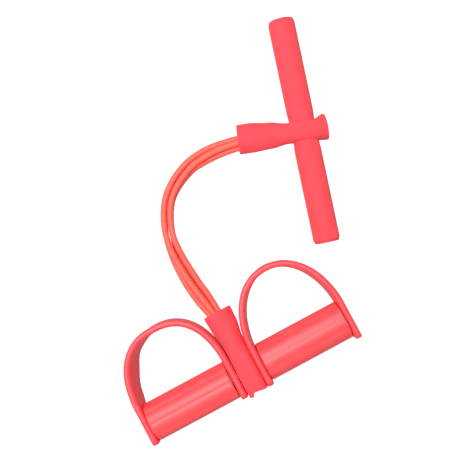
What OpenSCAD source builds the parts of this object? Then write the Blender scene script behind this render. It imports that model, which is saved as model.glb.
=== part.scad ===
// Two-pedal elastic pull exerciser lying flat: fluted roller pedals with foot
// loops on one rod, four elastic strands in a quarter-turn bundle, two foam
// sleeves and a foam-gripped crossbar. Millimetres, +Z up, floor at z = 0.

/* [Pedals] */
// Outside diameter of each fluted tread
tread_d = 44; // [36:1:60]
// Length of each tread
tread_len = 101.3; // [70:0.1:140]
// Number of lobes round a tread
tread_lobes = 10; // [8:1:12]
// Radius of each lobe
lobe_r = 12; // [7:0.5:16]
// Diameter of the steel rod through both treads
rod_d = 10; // [8:0.5:12]

/* [Foot loops] */
// Width of the loop band, across the foot
strap_w = 34; // [24:1:42]
// Thickness of the loop band
strap_t = 7.4; // [5:0.2:10]
// Distance from the rod's axis to the loop's tip
loop_reach = 95.5; // [80:1:130]
// How far the loop's end plates run on behind the rod
loop_back = 25; // [16:1:32]

/* [Strands] */
// Outside diameter of one elastic tube
tube_d = 7; // [5:0.1:9]
// Bore of one elastic tube
tube_bore = 4; // [2:0.1:5]

/* [Sleeves] */
// Wall of the foam sleeves
sleeve_wall = 3; // [2:0.1:5]
// Lower sleeve from the rod's axis to its mouth
lower_mouth = 73; // [55:1:100]
// Lower sleeve from the rod's axis to its closed side
lower_back = 27; // [18:1:35]
// Length of the upper sleeve
upper_len = 100; // [80:1:130]

/* [Handle] */
// Length of the handle over its end caps
handle_len = 254; // [200:1:320]
// Outside diameter of the foam grips
grip_d = 30; // [26:0.5:36]
// Diameter of the handle's steel tube
bar_d = 12; // [10:0.5:16]
// Direction of the handle, measured from the rod's direction
handle_angle = 73.6; // [60:0.1:90]

/* [Hidden] */
$fn = 64;
run_gap = 0.08;                 // running clearance on the rod
soft_gap = 0.3;                 // clearance beside foam and rubber
tread_wall = 5;                 // rubber outside the tread's bore
washer_over = 3;                // washers and necks beyond the rod
screw_r = 2.5;                  // threaded part of the end screws
rod_turn = rod_d / 2 + soft_gap + tube_d / 2;
bar_turn = bar_d / 2 + soft_gap + tube_d / 2;
nose_h = rod_turn + tube_d / 2 + 2.7;   // inside half height round the rod
// what stands tallest about the rod, and what passes round the bar
rod_z = max(tread_d / 2, nose_h + sleeve_wall + 0.6);
over_bar = max(grip_d / 2, bar_turn + tube_d / 2) + soft_gap;
lat = tube_d / 2 + 0.2;         // half the pitch of the strands
side_gap = 0.6;                 // tread end to loop plate
sleeve_half = tube_d + 1 + sleeve_wall;
plate_in = sleeve_half + 1.2;
pedal_x = plate_in + strap_t + side_gap + tread_len / 2;
loop_half = tread_len / 2 + side_gap + strap_t;
rod_end = pedal_x + loop_half - 2.8;
mouth_r = 1.25 * tube_d + 3.75; // inside of the lower mouth
mouth_z = mouth_r + sleeve_wall;
lower_tilt = asin((rod_z - mouth_z) / lower_mouth);
droop = asin((rod_z - strap_w / 2) / loop_reach);
up_r = 1.25 * tube_d + 4.3;     // inside of the upper mouth
up_z = up_r + sleeve_wall;
up_dir = -20.6;
handle_z = over_bar + 0.9 * sleeve_wall;
cross_t = upper_len - 25.4;
up_mouth = [112.5, lower_mouth + 159];
bar_mid = up_mouth + cross_t * [cos(up_dir), sin(up_dir)];
lie = 1.25 * tube_d + 0.25;     // bundle centre when it lies on the floor
grip_gap = tube_d + 1.8;        // half the space between the grips
grip_end = handle_len / 2 - 2;

// the part's middle, so that the origin lies under it
x_lo = -rod_end - 3.7;
x_hi = max(-x_lo, bar_mid[0] + handle_len / 2 * cos(handle_angle)
    + grip_d / 2 * sin(handle_angle) - 0.4);
y_lo = -lower_back * cos(lower_tilt)
    - (nose_h + sleeve_wall) * sin(lower_tilt);
y_hi = bar_mid[1] + handle_len / 2 * sin(handle_angle)
    + grip_d / 2 * cos(handle_angle) - 0.2;
shift = [-(x_lo + x_hi) / 2, -(y_lo + y_hi) / 2, 0];

// bundle rows inside the lower sleeve: share of its length, sideways offset,
// turn of the four strands, share of the rod's U-turn height
low_rows = [
    [0, 0, 0, 1],
    [0.17, 0, 2, 0.88],
    [0.38, -0.2, 6, 0.57],
    [0.6, -1.6, 18, 0.25],
    [0.82, -2.7, 32, 0.06],
    [1, -3.4, 45, 0]];
// free rows: x, y beyond the lower mouth, share of the mouth's height, turn,
// how loosely the strands lie
free_rows = [
    [-5.8, 19, 0.45, 58, 1.12],
    [-9, 39, 0.1, 68, 1.15],
    [-10.2, 57, 0, 76, 1.1],
    [-10.3, 75, 0, 82, 1.04],
    [-8.3, 94.3, 0, 87, 1],
    [-4.2, 109.6, 0, 90, 1],
    [2.9, 124.8, 0, 92, 1],
    [12, 137.9, 0, 95, 1],
    [24.2, 148, 0, 100, 1.04],
    [37.4, 155, 0, 107, 1.08],
    [51.7, 160, 0.1, 114, 1.1],
    [66, 162, 0.25, 121, 1.1],
    [80, 162, 0.5, 127, 1.08],
    [95, 159.8, 0.75, 132, 1.02]];
// rows inside the upper sleeve: share of the way to the bar, sideways offset,
// turn, share of the bar's U-turn height
up_rows = [
    [0, -3.3, 135, 0],
    [0.24, -2.6, 145, 0.08],
    [0.48, -1.2, 158, 0.3],
    [0.7, -0.3, 170, 0.64],
    [0.86, 0, 177, 0.87],
    [1, 0, 180, 1]];

// how far the strands reach sideways in a row inside the lower sleeve
function low_reach(i) = abs(low_rows[i][1]) + tube_d / 2
    + lat * cos(low_rows[i][2])
    + (lat + low_rows[i][3] * (rod_turn - lat)) * sin(low_rows[i][2]);
low_mid_w = low_reach(2) + 0.364 * (low_reach(3) - low_reach(2)) + 0.07;

function up_point(t, s) = up_mouth
    + t * cross_t * [cos(up_dir), sin(up_dir)]
    + s * [-sin(up_dir), cos(up_dir)];
rows = concat(
    [for (r = low_rows) [r[1], r[0] * lower_mouth,
        rod_z + (mouth_z - rod_z) * r[0], r[2],
        lat + r[3] * (rod_turn - lat), 1]],
    [for (r = free_rows) [r[0], lower_mouth + r[1],
        lie + r[2] * (mouth_z - lie), r[3], lat * r[4], r[4]]],
    [for (r = up_rows) [up_point(r[0], r[1])[0], up_point(r[0], r[1])[1],
        up_z + (handle_z - up_z) * r[0], r[2],
        lat + r[3] * (bar_turn - lat), 1]]);
last = len(rows) - 1;

function unit(v) = v / norm(v);
function along(i) = i == 0 ? [0, 1, 0]
    : i == last ? [cos(up_dir), sin(up_dir), 0]
    : unit([rows[i + 1][0] - rows[i - 1][0],
            rows[i + 1][1] - rows[i - 1][1], 0]);
function across(i) = [-along(i)[1], along(i)[0], 0];
function strand(i, a, b) =
    [rows[i][0], rows[i][1], rows[i][2]]
    + across(i) * (a * lat * rows[i][5] * cos(rows[i][3])
                   + b * rows[i][4] * sin(rows[i][3]))
    + [0, 0, 1] * (b * rows[i][4] * cos(rows[i][3])
                   - a * lat * rows[i][5] * sin(rows[i][3]));
function rod_bend(a, f) = [-a * lat, rod_turn * cos(f),
    rod_z + rod_turn * sin(f)];
function bar_bend(a, f) =
    [bar_mid[0] - a * lat * cos(handle_angle)
        + bar_turn * cos(f) * cos(up_dir),
     bar_mid[1] - a * lat * sin(handle_angle)
        + bar_turn * cos(f) * sin(up_dir),
     handle_z + bar_turn * sin(f)];

// one ring of tube: from the joiner round the rod, up the bundle, round the
// bar and back; each entry is a point and the sideways vector there
join = 2;
function ring_path(a) = concat(
    [for (i = [join:-1:0]) [strand(i, a, -1), across(i)]],
    [for (f = [240:-30:120]) [rod_bend(a, f), across(0)]],
    [for (i = [0:last]) [strand(i, a, 1), across(i)]],
    [for (f = [-60:30:60]) [bar_bend(a, f), across(last)]],
    [for (i = [last:-1:join + 1]) [strand(i, a, -1), across(i)]],
    [[strand(join, a, -1) + 0.5 * unit(strand(join + 1, a, -1)
        - strand(join, a, -1)), across(join)]]);

function ring_points(path, i, r, n) =
    let (m = len(path) - 1,
         t = unit(path[min(i + 1, m)][0] - path[max(i - 1, 0)][0]),
         s = unit(path[i][1] - (path[i][1] * t) * t),
         b = cross(t, s))
    [for (j = [0:n - 1]) path[i][0]
        + r * (cos(360 * j / n) * s + sin(360 * j / n) * b)];

module bent_tube(path, r1, r2, n = 10) {
    m = len(path);
    k = m * n;
    points = concat(
        [for (i = [0:m - 1]) each ring_points(path, i, r1, n)],
        [for (i = [0:m - 1]) each ring_points(path, i, r2, n)]);
    outside = [for (i = [0:m - 2]) for (j = [0:n - 1])
        let (p = i * n + j, q = i * n + (j + 1) % n)
        each [[p, p + n, q + n], [p, q + n, q]]];
    inside = [for (i = [0:m - 2]) for (j = [0:n - 1])
        let (p = k + i * n + j, q = k + i * n + (j + 1) % n)
        each [[p, q + n, p + n], [p, q, q + n]]];
    first = [for (j = [0:n - 1]) let (q = (j + 1) % n)
        each [[j, q, k + q], [j, k + q, k + j]]];
    final = [for (j = [0:n - 1]) let (e = (m - 1) * n, q = (j + 1) % n)
        each [[e + j, k + e + q, e + q], [e + j, k + e + j, k + e + q]]];
    polyhedron(points, concat(outside, inside, first, final));
}

// helpers: solids along +X, rounded sections
module rod_x(x0, x1, r) {
    translate([x0, 0, 0]) rotate([0, 90, 0]) cylinder(h = x1 - x0, r = r);
}
module section(x, w, h, z, y = 0, round = 50) {
    c = min(w, h, round);
    for (a = [-1, 1]) for (b = [-1, 1])
        translate([x, y + a * (w - c), z + b * (h - c)])
            rotate([0, 90, 0]) cylinder(h = 0.05, r = c, $fn = 40);
}
module stadium(w, h) {
    translate([0, h - w]) circle(w);
    translate([0, w - h]) circle(w);
    square([2 * w, 2 * (h - w)], center = true);
}
module at_rod() { translate(shift + [0, 0, rod_z]) children(); }
module on_bar() {
    translate(shift + [bar_mid[0], bar_mid[1], handle_z])
        rotate([0, 0, handle_angle]) children();
}

// fluted tread along +X
module fluted(x0, x1, lobe) {
    translate([x0, 0, 0]) rotate([90, 0, 90])
        linear_extrude(x1 - x0)
            for (i = [0:tread_lobes - 1])
                rotate(i * 360 / tread_lobes)
                    translate([tread_d / 2 - lobe_r, 0]) circle(r = lobe);
}
module tread(turn) {
    difference() {
        rotate([turn, 0, 0]) {
            fluted(-tread_len / 2 + 1, tread_len / 2 - 1, lobe_r);
            fluted(-tread_len / 2, tread_len / 2, lobe_r - 0.7);
        }
        rod_x(-tread_len / 2 - 1, tread_len / 2 + 1, tread_d / 2 - tread_wall);
    }
}
module hub(side) {
    face = tread_len / 2 - 1.6;
    difference() {
        union() {
            mirror([side < 0 ? 1 : 0, 0, 0]) {
                rod_x(face - 4, face, tread_d / 2 - tread_wall);
                rod_x(face - 14, face - 3.9, rod_d / 2 + washer_over + 1);
            }
        }
        rod_x(-tread_len, tread_len, rod_d / 2 + run_gap);
    }
}
module at_tread(side) {
    at_rod() translate([side * pedal_x, 0, 0]) children();
}

// foot loop: band outline in plan, then cut to rounded ends
function pow_sin(a, e) = sign(a) * pow(abs(a), e);
function arch(a, b, y, k0, k1, step) = [for (k = [k0:step:k1])
    [a * pow_sin(cos(k), 0.91), y + b * pow_sin(sin(k), 0.91)]];
module band(inset) {
    a = loop_half - inset;
    c = loop_half - strap_t + inset;
    y = 15;
    b = loop_reach - y - inset;
    d = loop_reach - y - strap_t + inset;
    e = -loop_back + inset;
    polygon(concat(
        [[a - 2, e], [a - 0.6, e + 0.6], [a, e + 2]],
        arch(a, b, y, 0, 180, 4),
        [[-a, e + 2], [-a + 0.6, e + 0.6], [-a + 2, e]],
        [[-c - 2, e], [-c - 0.6, e + 0.6], [-c, e + 2]],
        arch(c, d, y, 180, 0, -4),
        [[c, e + 2], [c + 0.6, e + 0.6], [c + 2, e]]));
}
module loop(side) {
    at_tread(side) rotate([-droop, 0, 0]) difference() {
        intersection() {
            union() {
                translate([0, 0, -strap_w / 2 + 1.2])
                    linear_extrude(strap_w - 2.4) band(0);
                translate([0, 0, -strap_w / 2 + 0.4])
                    linear_extrude(strap_w - 0.8) band(0.7);
                translate([0, 0, -strap_w / 2])
                    linear_extrude(strap_w) band(1.6);
            }
            translate([-loop_half - 5, 0, 0]) rotate([90, 0, 90])
                linear_extrude(2 * loop_half + 10) {
                    translate([-loop_back + 8, -strap_w / 2])
                        square([loop_reach + loop_back, strap_w]);
                    translate([-loop_back, -strap_w / 2 + 8])
                        square([20, strap_w - 16]);
                    for (b = [-1, 1])
                        translate([-loop_back + 8, b * (strap_w / 2 - 8)])
                            circle(8);
                }
        }
        rod_x(-loop_half - 1, loop_half + 1, rod_d / 2 + run_gap);
        mirror([side < 0 ? 1 : 0, 0, 0])
            rod_x(loop_half - 3, loop_half + 1, rod_d / 2 + 2.5);
    }
}

// root group: rod, its end screws and washers
module pedal_rod() {
    color([0.72, 0.72, 0.74]) at_rod() difference() {
        rod_x(-rod_end, rod_end, rod_d / 2);
        rod_x(rod_end - 18, rod_end + 1, screw_r);
        rod_x(-rod_end - 1, -rod_end + 18, screw_r);
    }
}
module screw(side) {
    color([0.6, 0.6, 0.62]) at_rod() mirror([side < 0 ? 1 : 0, 0, 0])
        difference() {
            union() {
                rod_x(rod_end + 1, rod_end + 2.2, 4.75);
                rod_x(rod_end + 2.1, rod_end + 3.1, 4.2);
                rod_x(rod_end + 3, rod_end + 3.7, 3.2);
                rod_x(rod_end - 14, rod_end + 1.1, screw_r);
            }
            translate([rod_end + 2, 0, 0]) rotate([0, 90, 0])
                cylinder(h = 3, r = 1.7, $fn = 6);
        }
}
module rod_screw_left() { screw(-1); }
module rod_screw_right() { screw(1); }
module ring(x0, x1, r) {
    difference() {
        rod_x(x0, x1, r);
        rod_x(x0 - 1, x1 + 1, rod_d / 2 + run_gap);
    }
}
module end_washer(side) {
    color([0.7, 0.7, 0.72]) at_rod() mirror([side < 0 ? 1 : 0, 0, 0])
        difference() {
            rod_x(rod_end, rod_end + 1, rod_d / 2 + 2.2);
            rod_x(rod_end - 1, rod_end + 2, screw_r);
        }
}
module rod_washer_left() { end_washer(-1); }
module rod_washer_right() { end_washer(1); }
module sleeve_washer(side) {
    color([0.92, 0.92, 0.9]) at_rod() mirror([side < 0 ? 1 : 0, 0, 0])
        ring(sleeve_half + soft_gap, plate_in - 0.15, rod_d / 2 + washer_over);
}
module sleeve_washer_left() { sleeve_washer(-1); }
module sleeve_washer_right() { sleeve_washer(1); }
module tread_washer(side, end) {
    color([0.92, 0.92, 0.9]) at_tread(side)
        mirror([end < 0 ? 1 : 0, 0, 0])
            ring(tread_len / 2 - 1.4, tread_len / 2 + side_gap - 0.2,
                rod_d / 2 + washer_over);
}
module tread_washer_left_outer() { tread_washer(-1, -1); }
module tread_washer_left_inner() { tread_washer(-1, 1); }
module tread_washer_right_inner() { tread_washer(1, -1); }
module tread_washer_right_outer() { tread_washer(1, 1); }

module tread_left() {
    color([0.98, 0.42, 0.44]) at_tread(-1) tread(30);
}
module tread_right() {
    color([0.98, 0.42, 0.44]) at_tread(1) tread(19);
}
module hub_left_outer() { color([0.9, 0.9, 0.88]) at_tread(-1) hub(-1); }
module hub_left_inner() { color([0.9, 0.9, 0.88]) at_tread(-1) hub(1); }
module hub_right_inner() { color([0.9, 0.9, 0.88]) at_tread(1) hub(-1); }
module hub_right_outer() { color([0.9, 0.9, 0.88]) at_tread(1) hub(1); }
module strap_left() { color([0.96, 0.36, 0.4]) loop(-1); }
module strap_right() { color([0.96, 0.36, 0.4]) loop(1); }

// lower sleeve: along +X here, then turned to +Y; round at its mouth and
// pinched to a tall stadium where it goes round the rod
module lower_solid(w) {
    y1 = lower_mouth * 0.82;
    y2 = lower_mouth * 0.46;
    y3 = lower_mouth * 0.14;
    m = mouth_r + w;
    e = w > 0 ? 0 : 1;
    rod_x(y1, lower_mouth + e, m);
    hull() {
        section(y1, m, m, 0);
        section(y2, low_mid_w + w, nose_h - 1 + w, 0);
    }
    hull() {
        section(y2, low_mid_w + w, nose_h - 1 + w, 0);
        section(y3, tube_d + 1 + w, nose_h + w, 0);
    }
    translate([-lower_back - e, 0, 0]) rotate([90, 0, 90])
        linear_extrude(lower_back + y3 + 0.03 + e)
            stadium(tube_d + 1 + w, nose_h + w);
}
module lower_sleeve() {
    color([1, 0.34, 0.38]) at_rod() rotate([-lower_tilt, 0, 0])
        difference() {
            rotate([0, 0, 90]) difference() {
                lower_solid(sleeve_wall);
                lower_solid(0);
            }
            rod_x(-40, 40, rod_d / 2 + run_gap);
        }
}

// upper sleeve: along +X with the bar's axis at x = 0
module upper_outer() {
    m = up_r + sleeve_wall;
    w = tube_d + 1.9;
    h = handle_z;
    translate([-cross_t, 0.8, up_z]) rod_x(0, cross_t - 36, m);
    hull() {
        section(-36, m, m, up_z, 0.8);
        section(-15, w + 2.4, h - 1.4, h - 0.8, 0, 8);
    }
    hull() {
        section(-15, w + 2.4, h - 1.4, h - 0.8, 0, 8);
        section(0, w, h, h, 0, 6.5);
    }
    hull() {
        section(0, w, h, h, 0, 6.5);
        section(14, w + 2.4, h - 1.6, h - 0.8, 0, 8);
    }
    hull() {
        section(14, w + 2.4, h - 1.6, h - 0.8, 0, 8);
        section(29, 15.8, 15.2, 15.6, 0.8);
    }
}
module upper_inner() {
    w = tube_d + 1.3;
    h = bar_turn + tube_d / 2 + soft_gap;
    translate([-cross_t - 1, 0.8, up_z]) rod_x(0, cross_t - 34.9, up_r);
    hull() {
        section(-36, up_r, up_r, up_z, 0.8);
        section(-22, w + 2.6, h, handle_z - 0.8, 0.2, 8);
        section(-7, w, h, handle_z, 0, 4.6);
    }
    hull() {
        section(-7, w, h - 0.2, handle_z, 0, 4.6);
        section(0, w, h - 0.2, handle_z, 0, 4.6);
    }
    hull() {
        section(7, w, 8, handle_z, 0, 4.6);
        section(31, 12.8, 12, 15.6, 0.8);
    }
}
module upper_sleeve() {
    color([1, 0.34, 0.38])
        difference() {
            translate(shift + [bar_mid[0], bar_mid[1], 0])
                rotate([0, 0, up_dir])
                difference() {
                    upper_outer();
                    upper_inner();
                    translate([26, 0, 0]) rotate([0, 0, 13])
                        translate([0, -30, -1]) cube([20, 60, 50]);
                }
            on_bar() rod_x(-40, 40, over_bar);
        }
}

module latex_tube_a() {
    color([1, 0.45, 0.4]) translate(shift)
        bent_tube(ring_path(1), tube_d / 2, tube_bore / 2);
}
module latex_tube_b() {
    color([1, 0.45, 0.4]) translate(shift)
        bent_tube(ring_path(-1), tube_d / 2, tube_bore / 2);
}
module joiner(a) {
    p = strand(join, a, -1);
    t = unit(strand(join + 1, a, -1) - strand(join - 1, a, -1));
    color([0.95, 0.95, 0.92]) translate(shift + p)
        rotate([0, acos(t[2]), atan2(t[1], t[0])]) {
            translate([0, 0, -7]) cylinder(h = 14.5, r = tube_bore / 2 - 0.25);
            for (z = [-6.5, -4, 4, 6.5]) translate([0, 0, z])
                cylinder(h = 0.8, r = tube_bore / 2);
        }
}
module joiner_a() { joiner(1); }
module joiner_b() { joiner(-1); }

// handle group
module handle_bar() {
    color([0.72, 0.72, 0.74]) on_bar() difference() {
        rod_x(-grip_end, grip_end, bar_d / 2);
        rod_x(-grip_end - 1, grip_end + 1, bar_d / 2 - 1.5);
    }
}
module grip(side) {
    color([1, 0.34, 0.38]) on_bar() mirror([side < 0 ? 1 : 0, 0, 0])
        difference() {
            union() {
                rod_x(20, grip_end - 1, grip_d / 2);
                rod_x(grip_gap, grip_end, grip_d / 2 - 0.8);
                rod_x(grip_gap, 20.1, grip_d / 2 - 0.6);
            }
            rod_x(0, grip_end + 1, bar_d / 2);
        }
}
module grip_upper() { grip(1); }
module grip_lower() { grip(-1); }
module plug(side) {
    color([0.92, 0.3, 0.34]) on_bar() mirror([side < 0 ? 1 : 0, 0, 0]) {
        rod_x(grip_end, grip_end + 1.2, grip_d / 2 - 1);
        rod_x(grip_end + 1.1, grip_end + 2, grip_d / 2 - 2);
        rod_x(grip_end - 16, grip_end + 0.1, bar_d / 2 - 1.5);
    }
}
module plug_upper() { plug(1); }
module plug_lower() { plug(-1); }

pedal_rod();
rod_screw_left();
rod_screw_right();
rod_washer_left();
rod_washer_right();
sleeve_washer_left();
sleeve_washer_right();
tread_washer_left_outer();
tread_washer_left_inner();
tread_washer_right_inner();
tread_washer_right_outer();
tread_left();
hub_left_outer();
hub_left_inner();
tread_right();
hub_right_inner();
hub_right_outer();
strap_left();
strap_right();
lower_sleeve();
latex_tube_a();
latex_tube_b();
joiner_a();
joiner_b();
upper_sleeve();
handle_bar();
grip_upper();
grip_lower();
plug_upper();
plug_lower();
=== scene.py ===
import math

import bmesh
import bpy
from mathutils import Matrix, Vector


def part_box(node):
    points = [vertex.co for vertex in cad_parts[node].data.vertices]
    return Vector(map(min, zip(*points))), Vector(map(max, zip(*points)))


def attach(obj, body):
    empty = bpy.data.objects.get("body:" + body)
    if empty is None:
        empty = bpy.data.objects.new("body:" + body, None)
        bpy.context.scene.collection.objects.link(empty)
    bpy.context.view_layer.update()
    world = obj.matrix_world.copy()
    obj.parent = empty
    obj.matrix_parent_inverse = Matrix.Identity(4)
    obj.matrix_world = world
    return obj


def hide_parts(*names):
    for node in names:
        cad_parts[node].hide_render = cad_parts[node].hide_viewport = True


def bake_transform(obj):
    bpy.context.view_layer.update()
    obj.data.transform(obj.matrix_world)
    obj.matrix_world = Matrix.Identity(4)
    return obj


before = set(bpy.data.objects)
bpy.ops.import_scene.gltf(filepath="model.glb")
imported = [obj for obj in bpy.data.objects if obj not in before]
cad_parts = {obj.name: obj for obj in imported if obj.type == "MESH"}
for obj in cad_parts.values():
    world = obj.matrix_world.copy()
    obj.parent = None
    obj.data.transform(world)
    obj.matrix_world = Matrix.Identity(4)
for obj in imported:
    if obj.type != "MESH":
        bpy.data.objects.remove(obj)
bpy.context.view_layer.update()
mm = 0.001


def middle(node):
    low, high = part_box(node)
    return (Vector(low) + Vector(high)) / 2


rodMid = middle("pedal_rod")    # everything below is measured from the rod's middle
barMid = middle("handle_bar")


def spot(x, y, z):
    # millimetres from the rod's middle, heights from the floor
    return Vector((rodMid.x + x * mm, rodMid.y + y * mm, z * mm))


# camera: straight above, turned so the rod runs up to the right
cameraPlan = {"x": 54.5, "y": 155.2, "height": 776, "turn": -28.3, "lens": 54,
              "sensor": 36, "nearest": 0.01}


def addCamera(s):
    camera = bpy.data.objects.new("overheadCamera", bpy.data.cameras.new("overheadCamera"))
    camera.data.lens = s["lens"]
    camera.data.sensor_width = s["sensor"]
    camera.data.clip_start = s["nearest"]
    camera.location = spot(s["x"], s["y"], s["height"])
    camera.rotation_euler = (0, 0, math.radians(s["turn"]))
    bpy.context.collection.objects.link(camera)
    bpy.context.scene.camera = camera


addCamera(cameraPlan)
print("camera set")


# mesh helpers
def addPiece(name, bm, node=None, body=None, smoothAngle=40):
    bmesh.ops.recalc_face_normals(bm, faces=bm.faces)
    mesh = bpy.data.meshes.new(name)
    bm.to_mesh(mesh)
    bm.free()
    piece = bpy.data.objects.new(name, mesh)
    bpy.context.collection.objects.link(piece)
    smoothOut(piece, smoothAngle)
    if node:
        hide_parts(node)
    if body:
        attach(piece, body)
    return piece


def smoothOut(piece, angle):
    for face in piece.data.polygons:
        face.use_smooth = True
    piece.data.set_sharp_from_angle(angle=math.radians(angle))


def settle(piece):
    # turns the live modifiers into plain mesh
    bpy.context.view_layer.update()
    graph = bpy.context.evaluated_depsgraph_get()
    mesh = bpy.data.meshes.new_from_object(piece.evaluated_get(graph))
    piece.modifiers.clear()
    piece.data = mesh
    mesh.name = piece.name


def loftRings(bm, count, segments, place, closed=False):
    # one circle, extruded ring by ring and moved to place(ring, step)
    made = bmesh.ops.create_circle(bm, cap_ends=False, segments=segments, radius=1)
    ring = made["verts"]
    for step, vert in enumerate(ring):
        vert.co = place(0, step)
    first = [e for e in bm.edges if e.verts[0] in ring and e.verts[1] in ring]
    edges = first
    for level in range(1, count):
        extruded = bmesh.ops.extrude_edge_only(bm, edges=edges)
        fresh = set(v for v in extruded["geom"] if isinstance(v, bmesh.types.BMVert))
        follow = []
        for vert in ring:
            twin = next(e.other_vert(vert) for e in vert.link_edges
                        if e.other_vert(vert) in fresh)
            follow.append(twin)
        for step, vert in enumerate(follow):
            vert.co = place(level, step)
        ring = follow
        members = set(ring)
        edges = [e for e in extruded["geom"] if isinstance(e, bmesh.types.BMEdge)
                 and e.verts[0] in members and e.verts[1] in members]
    if closed:
        bmesh.ops.bridge_loops(bm, edges=first + edges)


def carve(piece, centre, direction, radius, length):
    # a round hole bored into the piece; radius and length in metres
    bm = bmesh.new()
    turn = Vector((0, 0, 1)).rotation_difference(direction).to_matrix().to_4x4()
    bmesh.ops.create_cone(bm, cap_ends=True, segments=72, radius1=radius, radius2=radius,
                          depth=length, matrix=Matrix.Translation(centre) @ turn)
    mesh = bpy.data.meshes.new("drill")
    bm.to_mesh(mesh)
    bm.free()
    drill = bpy.data.objects.new("drill", mesh)
    bpy.context.collection.objects.link(drill)
    cut = piece.modifiers.new("hole", "BOOLEAN")
    cut.operation = "DIFFERENCE"
    cut.solver = "EXACT"
    cut.object = drill
    settle(piece)
    bpy.data.objects.remove(drill)


def blendRows(rows, x):
    # eased reading of a table whose first column rises
    for a, b in zip(rows, rows[1:]):
        if x <= b[0]:
            t = 0 if b[0] == a[0] else max(0, (x - a[0]) / (b[0] - a[0]))
            t = t * t * (3 - 2 * t)
            return [p + (q - p) * t for p, q in zip(a[1:], b[1:])]
    return rows[-1][1:]


def squircle(angle, w, h, power):
    c, s = math.cos(angle), math.sin(angle)
    return (w * math.copysign(abs(c) ** (2 / power), c),
            h * math.copysign(abs(s) ** (2 / power), s))


# elastic strands
strandPlan = {
    "diameter": 7.0,
    "half": 3.7,            # half the pitch of two strands side by side
    "rodBend": 8.8,         # bend round the rod, to the strand's middle
    "barBend": 9.8,         # the same round the crossbar
    "lie": 9.0,             # bundle centre when it lies on the floor
    "mouth": 73.0,
    "mouthHeight": 15.5,
    "upperMouth": (112.5, 232.0),
    "upperHeight": 16.05,
    "upperTurn": -20.6,
    "barTurn": 73.6,
    "upperReach": 74.6,
    "barHeight": 18.0,
    # share of the sleeve, sideways offset, turn of the four, share of the bend
    "lowRows": [(0, 0, 0, 1), (0.17, 0, 2, 0.88), (0.38, -0.2, 6, 0.57),
                (0.6, -1.6, 18, 0.25), (0.82, -2.7, 32, 0.06), (1, -3.4, 45, 0)],
    # x, y past the mouth, share of the mouth's height, turn, looseness
    "freeRows": [(-6.3, 19, 0.5, 48, 1.34), (-9.2, 39, 0.26, 52, 1.36),
                 (-10.2, 57, 0.2, 58, 1.3), (-10.3, 75, 0.1, 69, 1.2),
                 (-8.3, 94.3, 0.03, 81, 1.06), (-4.2, 109.6, 0, 89, 1.02),
                 (2.9, 124.8, 0, 92, 1), (12, 137.9, 0, 95, 1), (24.2, 148, 0, 100, 1.04),
                 (37.4, 155, 0, 107, 1.08), (51.7, 160, 0.1, 114, 1.1),
                 (66, 161.6, 0.25, 121, 1.16), (80, 161.4, 0.5, 127, 1.16),
                 (95, 159.4, 0.75, 132, 1.08)],
    "upRows": [(0, -3.3, 135, 0), (0.24, -2.6, 145, 0.08), (0.48, -1.2, 158, 0.3),
               (0.7, -0.3, 170, 0.64), (0.86, 0, 177, 0.87), (1, 0, 180, 1)],
    "join": 2,              # row where the ring is closed
    "overlap": 0.85,        # share of the gap the last stretch covers
    "rodTurns": (240, 210, 180, 150, 120),
    "barTurns": (-60, -30, 0, 30, 60),
    "easing": 4,
    "segments": 20,
}
upperAim = math.radians(strandPlan["upperTurn"])
upperAlong = Vector((math.cos(upperAim), math.sin(upperAim), 0))
upperSide = Vector((-upperAlong.y, upperAlong.x, 0))
barAim = math.radians(strandPlan["barTurn"])
barAlong = Vector((math.cos(barAim), math.sin(barAim), 0))


def bundleRows(s):
    half, rodZ = s["half"], rodMid.z / mm
    rows = []
    for share, off, turn, bend in s["lowRows"]:
        rows.append((Vector((off, share * s["mouth"],
                             rodZ + (s["mouthHeight"] - rodZ) * share)),
                     turn, half + bend * (s["rodBend"] - half), half))
    for x, y, lift, turn, loose in s["freeRows"]:
        rows.append((Vector((x, s["mouth"] + y,
                             s["lie"] + lift * (s["mouthHeight"] - s["lie"]))),
                     turn, half * loose, half * loose))
    for share, off, turn, bend in s["upRows"]:
        point = (Vector((*s["upperMouth"], 0)) + upperAlong * share * s["upperReach"]
                 + upperSide * off)
        point.z = s["upperHeight"] + (s["barHeight"] - s["upperHeight"]) * share
        rows.append((point, turn, half + bend * (s["barBend"] - half), half))
    return rows


def strandPoint(rows, i, a, b, s):
    point, turn, tall, wide = rows[i]
    if i == 0:
        along = Vector((0, 1, 0))
    elif i == len(rows) - 1:
        along = upperAlong
    else:
        along = rows[i + 1][0] - rows[i - 1][0]
        along.z = 0
        along.normalize()
    side = Vector((-along.y, along.x, 0))
    t = math.radians(turn)
    return (point + side * (a * wide * math.cos(t) + b * tall * math.sin(t))
            + Vector((0, 0, b * tall * math.cos(t) - a * wide * math.sin(t))), side)


def ringRoute(a, s):
    # joiner, round the rod, up the bundle, round the bar and back down
    rows = bundleRows(s)
    last, join = len(rows) - 1, s["join"]
    route = [strandPoint(rows, i, a, -1, s) for i in range(join, -1, -1)]
    left = Vector((-1, 0, 0))
    for f in s["rodTurns"]:
        f = math.radians(f)
        route.append((Vector((-a * s["half"], s["rodBend"] * math.cos(f),
                              rodMid.z / mm + s["rodBend"] * math.sin(f))), left))
    route += [strandPoint(rows, i, a, 1, s) for i in range(last + 1)]
    mid = (barMid - spot(0, 0, 0)) / mm
    for f in s["barTurns"]:
        f = math.radians(f)
        point = mid - barAlong * a * s["half"] + upperAlong * s["barBend"] * math.cos(f)
        point.z = s["barHeight"] + s["barBend"] * math.sin(f)
        route.append((point, upperSide))
    route += [strandPoint(rows, i, a, -1, s) for i in range(last, join, -1)]
    route.append((route[-1][0].lerp(route[0][0], s["overlap"]), route[0][1]))
    return route


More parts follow.
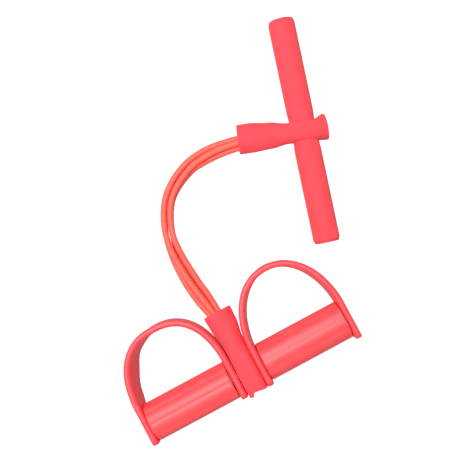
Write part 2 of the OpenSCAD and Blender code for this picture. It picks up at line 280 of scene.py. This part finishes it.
def easeRoute(route, steps):
    # a rounder route through the same points
    fine = []
    for i in range(len(route) - 1):
        p = [route[min(max(k, 0), len(route) - 1)][0] for k in (i - 1, i, i + 1, i + 2)]
        for j in range(steps):
            t = j / steps
            point = 0.5 * (2 * p[1] + (p[2] - p[0]) * t
                           + (2 * p[0] - 5 * p[1] + 4 * p[2] - p[3]) * t * t
                           + (3 * p[1] - p[0] - 3 * p[2] + p[3]) * t ** 3)
            fine.append((point, route[i][1].lerp(route[i + 1][1], t).normalized()))
    return fine + [route[-1]]


def buildStrand(name, node, a, s):
    route = easeRoute(ringRoute(a, s), s["easing"])
    points = [spot(*p) for p, side in route]
    count, radius = len(route), s["diameter"] / 2 * mm

    def place(level, step):
        ahead = points[min(level + 1, count - 1)] - points[max(level - 1, 0)]
        ahead.normalize()
        side = route[level][1] - ahead * route[level][1].dot(ahead)
        side.normalize()
        angle = 2 * math.pi * step / s["segments"]
        return points[level] + radius * (side * math.cos(angle)
                                         + ahead.cross(side) * math.sin(angle))

    bm = bmesh.new()
    loftRings(bm, count, s["segments"], place)
    bmesh.ops.holes_fill(bm, edges=[e for e in bm.edges if e.is_boundary])
    piece = addPiece(name, bm, node, None, 60)
    around = piece.data.uv_layers.new(name="lay")
    total = [0.0]
    for p, q in zip(points, points[1:]):
        total.append(total[-1] + (q - p).length)
    for loop in piece.data.loops:
        level, step = divmod(loop.vertex_index, s["segments"])
        around.data[loop.index].uv = (step / s["segments"], total[min(level, count - 1)])
    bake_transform(piece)
    return piece


strands = [buildStrand("strandA", "latex_tube_a", 1, strandPlan),
           buildStrand("strandB", "latex_tube_b", -1, strandPlan)]
print("strands laid")


# fluted treads
treadPlan = {
    "length": 101.3, "diameter": 44.0, "lobes": 10, "lobeRadius": 12.0, "bore": 34.4,
    "soften": 0.86,         # share of a lobe left unrounded
    "centre": 70.85, "segments": 240, "turnLeft": 30, "turnRight": 19,
    "edge": [(0, 1.6), (0.35, 0.7), (0.9, 0.2), (1.8, 0)],   # rounding at the ends
    "rimIn": 0.6, "boreIn": 9.0, "rimWidth": 0.5, "plain": 2.0, "stretches": 12,
}


def buildTread(name, node, body, side, turn, s):
    radius = s["diameter"] / 2
    step = 2 * math.pi / s["lobes"]
    end = s["length"] / 2
    rings = [(-end + s["boreIn"], None), (-end + s["rimIn"], None), (-end, "face")]
    rings += [(-end + d, inset) for d, inset in s["edge"]]
    rings += [(-end + s["plain"] + (2 * end - 2 * s["plain"]) * k / s["stretches"], 0)
              for k in range(s["stretches"] + 1)]
    rings += [(end - d, inset) for d, inset in reversed(s["edge"])]
    rings += [(end, "face"), (end - s["rimIn"], None), (end - s["boreIn"], None)]

    def place(level, k):
        x, kind = rings[level]
        angle = 2 * math.pi * k / s["segments"]
        if kind is None:
            r = s["bore"] / 2
        elif kind == "face":
            r = s["bore"] / 2 + s["rimWidth"]
        else:
            off = (angle - math.radians(turn) + step / 2) % step - step / 2
            share = abs(off) / (step / 2)
            if share > s["soften"]:   # a small fillet at the bottom of each flute
                late = (share - s["soften"]) / (1 - s["soften"])
                share = s["soften"] + (1 - s["soften"]) * (late - late * late / 2)
            out = radius - s["lobeRadius"]
            lean = share * step / 2
            r = (out * math.cos(lean)
                 + math.sqrt(s["lobeRadius"] ** 2 - (out * math.sin(lean)) ** 2) - kind)
        point = spot(side * s["centre"] + x, r * math.cos(angle), r * math.sin(angle))
        point.z += rodMid.z
        return point

    bm = bmesh.new()
    loftRings(bm, len(rings), s["segments"], place, closed=True)
    piece = addPiece(name, bm, node, body, 50)
    return piece


treads = [buildTread("treadLeft", "tread_left", "left_roller", -1,
                     treadPlan["turnLeft"], treadPlan),
          buildTread("treadRight", "tread_right", "right_roller", 1,
                     treadPlan["turnRight"], treadPlan)]
print("treads turned")


# foot loops
loopPlan = {"width": 34.0, "thick": 7.4, "half": 58.65, "reach": 95.5,
            "straight": 15.0, "centre": 70.85, "corner": 5.0, "round": 3.3,
            "tip": 1.4, "along": 180, "around": 36, "plate": 12, "bend": 8,
            "rodBore": 5.15, "boreDepth": 140.0,
            "recessRadius": 7.5, "recessDepth": 5.0, "recessIn": 0.5,
            "endShares": (0, 0.0012, 0.003, 0.006, 0.01)}
# leans in degrees, tails and tuck in millimetres
loopLeft = {"power": 2.35, "short": 1.2, "tails": (22.6, 24), "droop": 3.0,
            "outerLean": 13, "tipLean": 0, "innerLean": 2, "tuck": 2.4}
loopRight = {"power": 2.05, "short": 0.2, "tails": (24.6, 25), "droop": 3.0,
             "outerLean": 3, "tipLean": 1, "innerLean": 5, "tuck": 0}


def loopRoute(s, power, short, tails):
    a = s["half"] - s["thick"] / 2
    b = s["reach"] - short - s["straight"] - s["thick"] / 2
    points = [Vector((a, y, 0)) for y in (-tails[0], -s["plate"], 0, s["bend"])]
    for k in range(0, 181, 3):
        x, y = squircle(math.radians(k), a, b, power)
        points.append(Vector((x, s["straight"] + y, 0)))
    points += [Vector((-a, y, 0)) for y in (s["bend"], 0, -s["plate"], -tails[1])]
    lengths = [0.0]
    for p, q in zip(points, points[1:]):
        lengths.append(lengths[-1] + (q - p).length)
    return points, lengths


def alongRoute(points, lengths, distance):
    for i in range(len(points) - 1):
        if distance <= lengths[i + 1] or i == len(points) - 2:
            span = lengths[i + 1] - lengths[i]
            t = (distance - lengths[i]) / span
            return points[i].lerp(points[i + 1], t)


def bandSection(step, halfThick, halfTall, radius):
    # rounded rectangle, nine points on each corner
    corner, k = divmod(step, 9)
    middle = math.radians(45 + 90 * corner)
    angle = math.radians(90 * corner + 90 * k / 8)
    return (math.copysign(halfThick - radius, math.cos(middle)) + radius * math.cos(angle),
            math.copysign(halfTall - radius, math.sin(middle)) + radius * math.sin(angle))


def buildLoop(name, node, body, side, s, own):
    points, lengths = loopRoute(s, own["power"], own["short"], own["tails"])
    total = lengths[-1]
    droop = math.radians(own["droop"])
    outer, inner, tuck = own["outerLean"], own["innerLean"], own["tuck"]
    leans = [(0, 0, 0), (0.1, 0, 0), (0.2, outer * 0.6, tuck * 0.6), (0.3, outer, tuck),
             (0.4, outer * 0.6, tuck * 0.6), (0.5, own["tipLean"], 0),
             (0.64, inner, 0), (0.76, inner * 0.7, 0), (0.86, 0, 0), (1, 0, 0)]
    shares = list(s["endShares"])
    shares += [0.015 + 0.97 * k / s["along"] for k in range(s["along"] + 1)]
    shares += [1 - share for share in reversed(s["endShares"])]

    def place(level, step):
        share = shares[level]
        distance = share * total
        point = alongRoute(points, lengths, distance)
        before = alongRoute(points, lengths, max(distance - 2, 0))
        after = alongRoute(points, lengths, min(distance + 2, total))
        outward = (after - before).cross(Vector((0, 0, 1))).normalized()
        tail = min(distance, total - distance)
        tall, thick = s["width"] / 2, s["thick"] / 2
        if tail < s["corner"]:   # the plates end in rounded corners
            tall += -s["corner"] + math.sqrt(s["corner"] ** 2 - (s["corner"] - tail) ** 2)
        if tail < s["tip"]:
            thick += -s["tip"] + math.sqrt(s["tip"] ** 2 - (s["tip"] - tail) ** 2)
        out, up = bandSection(step, thick, tall, min(s["round"], thick - 0.1))
        lean, tuckedIn = blendRows(leans, share)
        lean = math.radians(lean)
        point = point + outward * (out - tuckedIn + math.sin(lean) * up)
        point.z = up * math.cos(lean)
        x, y = side * point.x, point.y * math.cos(droop) + point.z * math.sin(droop)
        z = point.z * math.cos(droop) - point.y * math.sin(droop)
        return spot(side * s["centre"] + x, y, z) + Vector((0, 0, rodMid.z))

    bm = bmesh.new()
    loftRings(bm, len(shares), s["around"], place)
    bmesh.ops.holes_fill(bm, edges=[e for e in bm.edges if e.is_boundary])
    piece = addPiece(name, bm, node, None, 40)
    axis = Vector((1, 0, 0))
    carve(piece, Vector((rodMid.x + side * s["centre"] * mm, rodMid.y, rodMid.z)), axis,
          s["rodBore"] * mm, s["boreDepth"] * mm)
    recess = side * (s["centre"] + s["half"] - s["recessIn"])   # seat of the end screw's head
    carve(piece, Vector((rodMid.x + recess * mm, rodMid.y, rodMid.z)), axis,
          s["recessRadius"] * mm, s["recessDepth"] * mm)
    smoothOut(piece, 40)
    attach(piece, body)
    return piece


loops = [buildLoop("footLoopLeft", "strap_left", "left_loop", -1, loopPlan, loopLeft),
         buildLoop("footLoopRight", "strap_right", "right_loop", 1, loopPlan, loopRight)]
print("foot loops bent")


# foam sleeves: outside rows, a rounded rim, then the same rows inside
def buildSleeve(name, node, rows, wall, place, segments=96, gap=3.0):
    start, end = rows[0][0], rows[-1][0]
    count = max(int((end - start) / gap), 8)
    stations = [start + (end - start) * k / count for k in range(count + 1)]
    levels = [(x, 0) for x in stations]
    levels += [(end + 0.5, 0.3), (end + 0.8, 1.5), (end + 0.5, wall - 0.3)]
    levels += [(x, wall) for x in reversed(stations)]
    levels += [(start - 0.5, wall - 0.3), (start - 0.8, 1.5), (start - 0.5, 0.3)]

    def put(level, step):
        x, inset = levels[level]
        w, h, z, y, power = blendRows(rows, x)
        angle = 2 * math.pi * step / segments
        across, up = squircle(angle, w - inset, h - inset, power)
        return place(x, y + across, z + up, angle)

    bm = bmesh.new()
    loftRings(bm, len(levels), segments, put, closed=True)
    return addPiece(name, bm, node, None, 50)


lowerPlan = {
    "wall": 3.0, "tilt": 5.1, "notch": 4.2,
    # distance from the rod, half width, half height, lift, sideways, squareness
    "rows": [(-26.2, 11.8, 17.6, 0, 0, 3.4), (-10, 11.95, 18, 0, 0, 4), (10, 11.95, 18, 0, 0, 4),
             (26, 12.0, 17.2, 0, 0, 2.8), (36, 12.7, 16.6, 0, 0, 2.2),
             (58, 16.0, 15.4, 0, 0, 2), (73.0, 16.6, 15.4, 0, 0.2, 2)],
    "rodBore": 5.2, "boreDepth": 60.0,
    "pinch": [(-1, 0.45), (0.3, 1), (0.62, 0), (1, 0)],   # how the closed side is pulled in
}


def buildLowerSleeve(s):
    tilt = math.radians(s["tilt"])

    def place(x, y, z, angle):
        if x < 0:
            x += s["notch"] * blendRows(s["pinch"], y / 12)[0] * min(1, (x / -26) ** 2)
        return Vector((rodMid.x - y * mm,
                       rodMid.y + (x * math.cos(tilt) + z * math.sin(tilt)) * mm,
                       rodMid.z + (z * math.cos(tilt) - x * math.sin(tilt)) * mm))

    piece = buildSleeve("lowerSleeve", "lower_sleeve", s["rows"], s["wall"], place)
    carve(piece, rodMid.copy(), Vector((1, 0, 0)), s["rodBore"] * mm, s["boreDepth"] * mm)
    smoothOut(piece, 50)
    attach(piece, "strand_group")
    return piece


upperPlan = {
    "wall": 2.85, "askew": 0.18, "notch": 0.9, "barBore": 15.3, "boreDepth": 70.0,
    "rows": [(-73.8, 16.7, 16.0, 16.1, 0.7, 2), (-60, 16.8, 16.0, 16.1, 0.9, 2),
             (-39, 15.0, 15.8, 16.2, 0.5, 2), (-18, 11.3, 16.6, 17.2, 0, 3),
             (0, 11.1, 18, 18, 0, 6), (11.5, 11.6, 16.8, 17.3, 0.3, 3.6),
             (26, 14.8, 15.2, 16, 2.3, 2.2)],
}


def buildUpperSleeve(s):
    mid = Vector((barMid.x, barMid.y, 0))

    def place(x, y, z, angle):
        if x > 10:   # the open end is cut a little askew and dips over the middle
            late = min(1, (x - 10) / 14)
            x -= s["askew"] * max(y - 3, 0) * late
            x -= s["notch"] * abs(math.sin(angle)) ** 4 * late
        return mid + upperAlong * x * mm + upperSide * y * mm + Vector((0, 0, z * mm))

    piece = buildSleeve("upperSleeve", "upper_sleeve", s["rows"], s["wall"], place, gap=2.2)
    carve(piece, barMid.copy(), barAlong, s["barBore"] * mm, s["boreDepth"] * mm)
    smoothOut(piece, 50)
    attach(piece, "upper_sleeve_group")
    return piece


sleeves = [buildLowerSleeve(lowerPlan), buildUpperSleeve(upperPlan)]
print("sleeves shaped")


# foam grips and end plugs on the crossbar
gripPlan = {"radius": 15.0, "bore": 6.02, "near": 8.9, "far": 125.0, "segments": 96,
            "root": 16, "stretches": 18}
plugPlan = {"radius": 14.1, "stem": 4.45, "seat": 125.05, "end": 127.0, "segments": 72}


def turnedOnBar(name, node, profile, sign, segments, closed):
    up = Vector((0, 0, 1))
    side = barAlong.cross(up)

    def place(level, step):
        distance, radius = profile[level]
        angle = 2 * math.pi * step / segments
        return (barMid + barAlong * sign * distance * mm
                + radius * mm * (up * math.cos(angle) + side * math.sin(angle)))

    bm = bmesh.new()
    loftRings(bm, len(profile), segments, place, closed=closed)
    if not closed:
        bmesh.ops.holes_fill(bm, edges=[e for e in bm.edges if e.is_boundary])
    return addPiece(name, bm, node, "handle_group", 35)


def buildGrip(name, node, sign, s):
    r, near, far = s["radius"], s["near"], s["far"]
    profile = [(near, s["bore"]), (near, r - 1.6), (near + 0.8, r - 0.9), (near + 6, r - 0.5),
               (near + 12, r - 0.1), (near + s["root"], r)]
    steps, plain = s["stretches"], far - near - s["root"] - 3
    profile += [(near + s["root"] + plain * k / steps, r) for k in range(1, steps + 1)]
    profile += [(far - 1.4, r - 0.12), (far - 0.6, r - 0.5), (far - 0.15, r - 1.1), (far, r - 2),
                (far, s["bore"])]
    piece = turnedOnBar(name, node, profile, sign, s["segments"], True)
    return piece


def buildPlug(name, node, sign, s):
    r, seat, end = s["radius"], s["seat"], s["end"]
    profile = [(seat - 16, s["stem"] - 0.6), (seat - 15, s["stem"]), (seat, s["stem"]),
               (seat, r - 0.3), (seat + 0.4, r), (seat + 1.0, r - 0.05), (seat + 1.5, r - 0.4),
               (end - 0.15, r - 1.1), (end, r - 2.2), (end, r - 6), (end - 0.5, r - 6.8),
               (end - 0.5, 2)]
    piece = turnedOnBar(name, node, profile, sign, s["segments"], False)
    return piece


grips = [buildGrip("gripUpper", "grip_upper", 1, gripPlan),
         buildGrip("gripLower", "grip_lower", -1, gripPlan)]
plugs = [buildPlug("plugUpper", "plug_upper", 1, plugPlan),
         buildPlug("plugLower", "plug_lower", -1, plugPlan)]
print("crossbar dressed")


# finishes
def newMaterial(name):
    material = bpy.data.materials.new(name)
    material.use_nodes = True
    nodes = material.node_tree.nodes
    return material, nodes, material.node_tree.links, nodes["Principled BSDF"]


def addNoise(nodes, links, vector, scale, detail=3.0, rough=0.5):
    noise = nodes.new("ShaderNodeTexNoise")
    noise.inputs["Scale"].default_value = scale
    noise.inputs["Detail"].default_value = detail
    noise.inputs["Roughness"].default_value = rough
    links.new(vector, noise.inputs["Vector"])
    return noise.outputs["Fac"]


def addRamp(nodes, links, source, stops):
    ramp = nodes.new("ShaderNodeValToRGB")
    ramp.color_ramp.elements[0].position = stops[0][0]
    ramp.color_ramp.elements[0].color = (*stops[0][1], 1)
    ramp.color_ramp.elements[1].position = stops[-1][0]
    ramp.color_ramp.elements[1].color = (*stops[-1][1], 1)
    for position, colour in stops[1:-1]:
        ramp.color_ramp.elements.new(position).color = (*colour, 1)
    links.new(source, ramp.inputs["Fac"])
    return ramp.outputs["Color"]


def addRange(nodes, links, source, low, high):
    span = nodes.new("ShaderNodeMapRange")
    span.inputs["To Min"].default_value = low
    span.inputs["To Max"].default_value = high
    links.new(source, span.inputs["Value"])
    return span.outputs["Result"]


def addBump(nodes, links, shader, height, strength, distance):
    bump = nodes.new("ShaderNodeBump")
    bump.inputs["Strength"].default_value = strength
    bump.inputs["Distance"].default_value = distance
    links.new(height, bump.inputs["Height"])
    links.new(bump.outputs["Normal"], shader.inputs["Normal"])


foamFinish = {"light": (0.93, 0.06, 0.078), "dark": (0.9, 0.047, 0.062), "cloud": 90,
              "pore": 1500, "bump": 0.35, "depth": 0.0003,
              "roughLow": 0.74, "roughHigh": 0.9, "shine": 0.3, "sheen": 0.12}
latexFinish = {"light": (0.95, 0.12, 0.085), "dark": (0.93, 0.095, 0.07), "cloud": 120,
               "grain": 900, "bump": 0.03, "through": 0.1,
               "roughLow": 0.48, "roughHigh": 0.62, "shine": 0.32}
treadFinish = {"light": (0.92, 0.068, 0.08), "dark": (0.89, 0.054, 0.064), "cloud": 70,
               "grain": 1100, "bump": 0.15, "roughLow": 0.44, "roughHigh": 0.54, "shine": 0.5}
strapFinish = {"light": (0.9, 0.056, 0.072), "dark": (0.87, 0.044, 0.056), "cloud": 60,
               "grain": 1300, "bump": 0.12, "roughLow": 0.4, "roughHigh": 0.5, "shine": 0.45}
plugFinish = {**strapFinish, "light": (0.8, 0.06, 0.08), "dark": (0.75, 0.05, 0.07)}
nylonFinish = {"light": (0.8, 0.8, 0.76), "dark": (0.74, 0.74, 0.7), "cloud": 80,
               "grain": 900, "bump": 0.12, "roughLow": 0.35, "roughHigh": 0.5, "shine": 0.5}
steelFinish = {"colour": (0.72, 0.72, 0.74), "rough": 0.28, "brush": (60, 900, 900)}


def addColour(nodes, links, shader, source, dark, light):
    links.new(addRamp(nodes, links, source, [(0.3, dark), (0.7, light)]),
              shader.inputs["Base Color"])


def makeFoam(s):
    material, nodes, links, shader = newMaterial("closedCellFoam")
    place = nodes.new("ShaderNodeTexCoord").outputs["Object"]
    cloud = addNoise(nodes, links, place, s["cloud"], 4)
    addColour(nodes, links, shader, cloud, s["dark"], s["light"])
    pores = nodes.new("ShaderNodeTexVoronoi")
    pores.inputs["Scale"].default_value = s["pore"]
    links.new(place, pores.inputs["Vector"])
    links.new(addRange(nodes, links, cloud, s["roughLow"], s["roughHigh"]),
              shader.inputs["Roughness"])
    addBump(nodes, links, shader, pores.outputs["Distance"], s["bump"], s["depth"])
    shader.inputs["Specular IOR Level"].default_value = s["shine"]
    shader.inputs["Sheen Weight"].default_value = s["sheen"]
    shader.inputs["Sheen Roughness"].default_value = 0.5
    return material


def makeMoulded(name, s):
    material, nodes, links, shader = newMaterial(name)
    place = nodes.new("ShaderNodeTexCoord").outputs["Object"]
    cloud = addNoise(nodes, links, place, s["cloud"], 4)
    addColour(nodes, links, shader, cloud, s["dark"], s["light"])
    grain = addNoise(nodes, links, place, s["grain"], 3)
    links.new(addRange(nodes, links, cloud, s["roughLow"], s["roughHigh"]),
              shader.inputs["Roughness"])
    addBump(nodes, links, shader, grain, s["bump"], 0.0002)
    shader.inputs["Specular IOR Level"].default_value = s["shine"]
    if "through" in s:   # light comes a little way through the latex
        shader.inputs["Subsurface Weight"].default_value = s["through"]
        shader.inputs["Subsurface Radius"].default_value = (1.0, 0.25, 0.15)
        shader.inputs["Subsurface Scale"].default_value = 0.003
    return material


def makeMetal(name, s):
    material, nodes, links, shader = newMaterial(name)
    coord = nodes.new("ShaderNodeTexCoord").outputs["Object"]
    stretch = nodes.new("ShaderNodeMapping")
    stretch.inputs["Scale"].default_value = s["brush"]
    links.new(coord, stretch.inputs["Vector"])
    brushed = addNoise(nodes, links, stretch.outputs["Vector"], 1.0, 4)
    dim = tuple(c * 0.82 for c in s["colour"])
    addColour(nodes, links, shader, brushed, dim, s["colour"])
    links.new(addRange(nodes, links, brushed, s["rough"] - 0.08, s["rough"] + 0.1),
              shader.inputs["Roughness"])
    shader.inputs["Metallic"].default_value = 1.0
    addBump(nodes, links, shader, brushed, 0.1, 0.0001)
    return material


foam = makeFoam(foamFinish)
latex = makeMoulded("powderedLatex", latexFinish)
treadRubber = makeMoulded("mouldedRubber", treadFinish)
strapPlastic = makeMoulded("flexiblePlastic", strapFinish)
plugPlastic = makeMoulded("plugPlastic", plugFinish)
nylon = makeMoulded("nylon", nylonFinish)
steel = makeMetal("platedSteel", steelFinish)


def dress(pieces, material):
    for piece in pieces:
        piece.data.materials.clear()
        piece.data.materials.append(material)


dress(strands, latex)
dress(treads, treadRubber)
dress(loops, strapPlastic)
dress(sleeves + grips, foam)
dress(plugs, plugPlastic)
for name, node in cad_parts.items():
    if node.hide_render:
        continue
    kind = steel if name.startswith(("pedal_rod", "rod_", "handle_bar")) else nylon
    for slot in node.material_slots:
        slot.link = "OBJECT"
        slot.material = kind
print("finishes given")


# floor and light
studio = {"floor": 6.0, "glow": 1.15, "bounce": 0.38, "world": 0.5, "paint": 0.12,
          "key": 27.0, "keySize": 0.95, "keySpot": (-0.25, 0.35, 1.35)}


def addStudio(s):
    bm = bmesh.new()
    bmesh.ops.create_grid(bm, x_segments=1, y_segments=1, size=s["floor"] / 2)
    mesh = bpy.data.meshes.new("studioFloor")
    bm.to_mesh(mesh)
    bm.free()
    floor = bpy.data.objects.new("studioFloor", mesh)
    floor.location.z = -0.0002
    bpy.context.collection.objects.link(floor)
    paint, nodes, links, shader = newMaterial("palePaint")
    shader.inputs["Base Color"].default_value = (s["paint"], s["paint"], s["paint"], 1)
    shader.inputs["Roughness"].default_value = 1.0
    shader.inputs["Specular IOR Level"].default_value = 0.0
    # glows for the camera alone, so it stays white and throws little light up
    shader.inputs["Emission Color"].default_value = (1, 1, 1, 1)
    seen = nodes.new("ShaderNodeLightPath").outputs["Is Camera Ray"]
    links.new(addRange(nodes, links, seen, s["bounce"], s["glow"]),
              shader.inputs["Emission Strength"])
    mesh.materials.append(paint)
    world = bpy.data.worlds.new("softRoom")
    world.use_nodes = True
    back = world.node_tree.nodes["Background"]
    back.inputs["Color"].default_value = (1, 1, 1, 1)
    sky, lines = world.node_tree.nodes, world.node_tree.links
    seen = sky.new("ShaderNodeLightPath").outputs["Is Camera Ray"]
    lines.new(addRange(sky, lines, seen, s["world"], s["glow"]), back.inputs["Strength"])
    bpy.context.scene.world = world
    lamp = bpy.data.lights.new("softKey", "AREA")
    lamp.energy = s["key"]
    lamp.size = s["keySize"]
    key = bpy.data.objects.new("softKey", lamp)
    key.location = s["keySpot"]
    key.rotation_euler = (Vector((0, 0, 0)) - key.location).to_track_quat("-Z", "Y").to_euler()
    bpy.context.collection.objects.link(key)
    bpy.context.scene.view_settings.view_transform = "Standard"


addStudio(studio)
print("studio lit")
